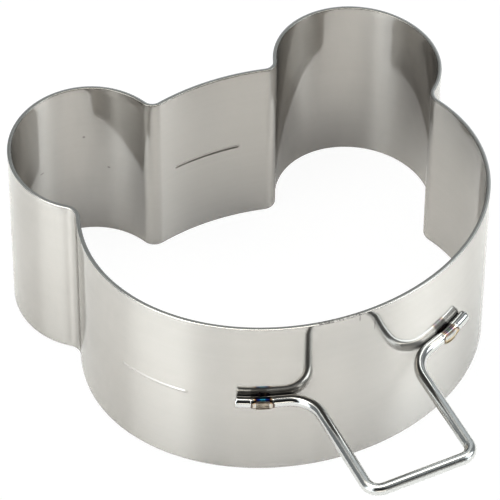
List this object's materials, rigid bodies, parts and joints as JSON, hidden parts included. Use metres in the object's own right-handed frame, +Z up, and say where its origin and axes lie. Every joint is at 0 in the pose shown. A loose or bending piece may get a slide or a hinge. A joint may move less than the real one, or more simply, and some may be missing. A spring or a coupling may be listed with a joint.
{
  "type": "pancake ring",
  "caption": "Open pancake ring bent from a steel strip in the outline of a bear's head, with a spot-welded wire loop handle.",
  "frame": {"origin": "on the plane that the ring stands on, under the middle of the whole object's length and width", "axes": "+Z up; +Y from the handle and chin towards the ears; +X to the right seen from the handle"},
  "size_m": [0.116, 0.137, 0.05],
  "materials": {
    "stainless_strip": "bright rolled stainless sheet, faintly brushed along the strip",
    "stainless_wire": "bright drawn stainless wire, polished",
    "weld_metal": "spot-weld metal with a brown and blue heat tint"
  },
  "bodies": {
    "root": {"ring_band": "stainless_strip", "handle_wire": "stainless_wire", "weld_left": "weld_metal", "weld_right": "weld_metal"}
  },
  "joints": []
}
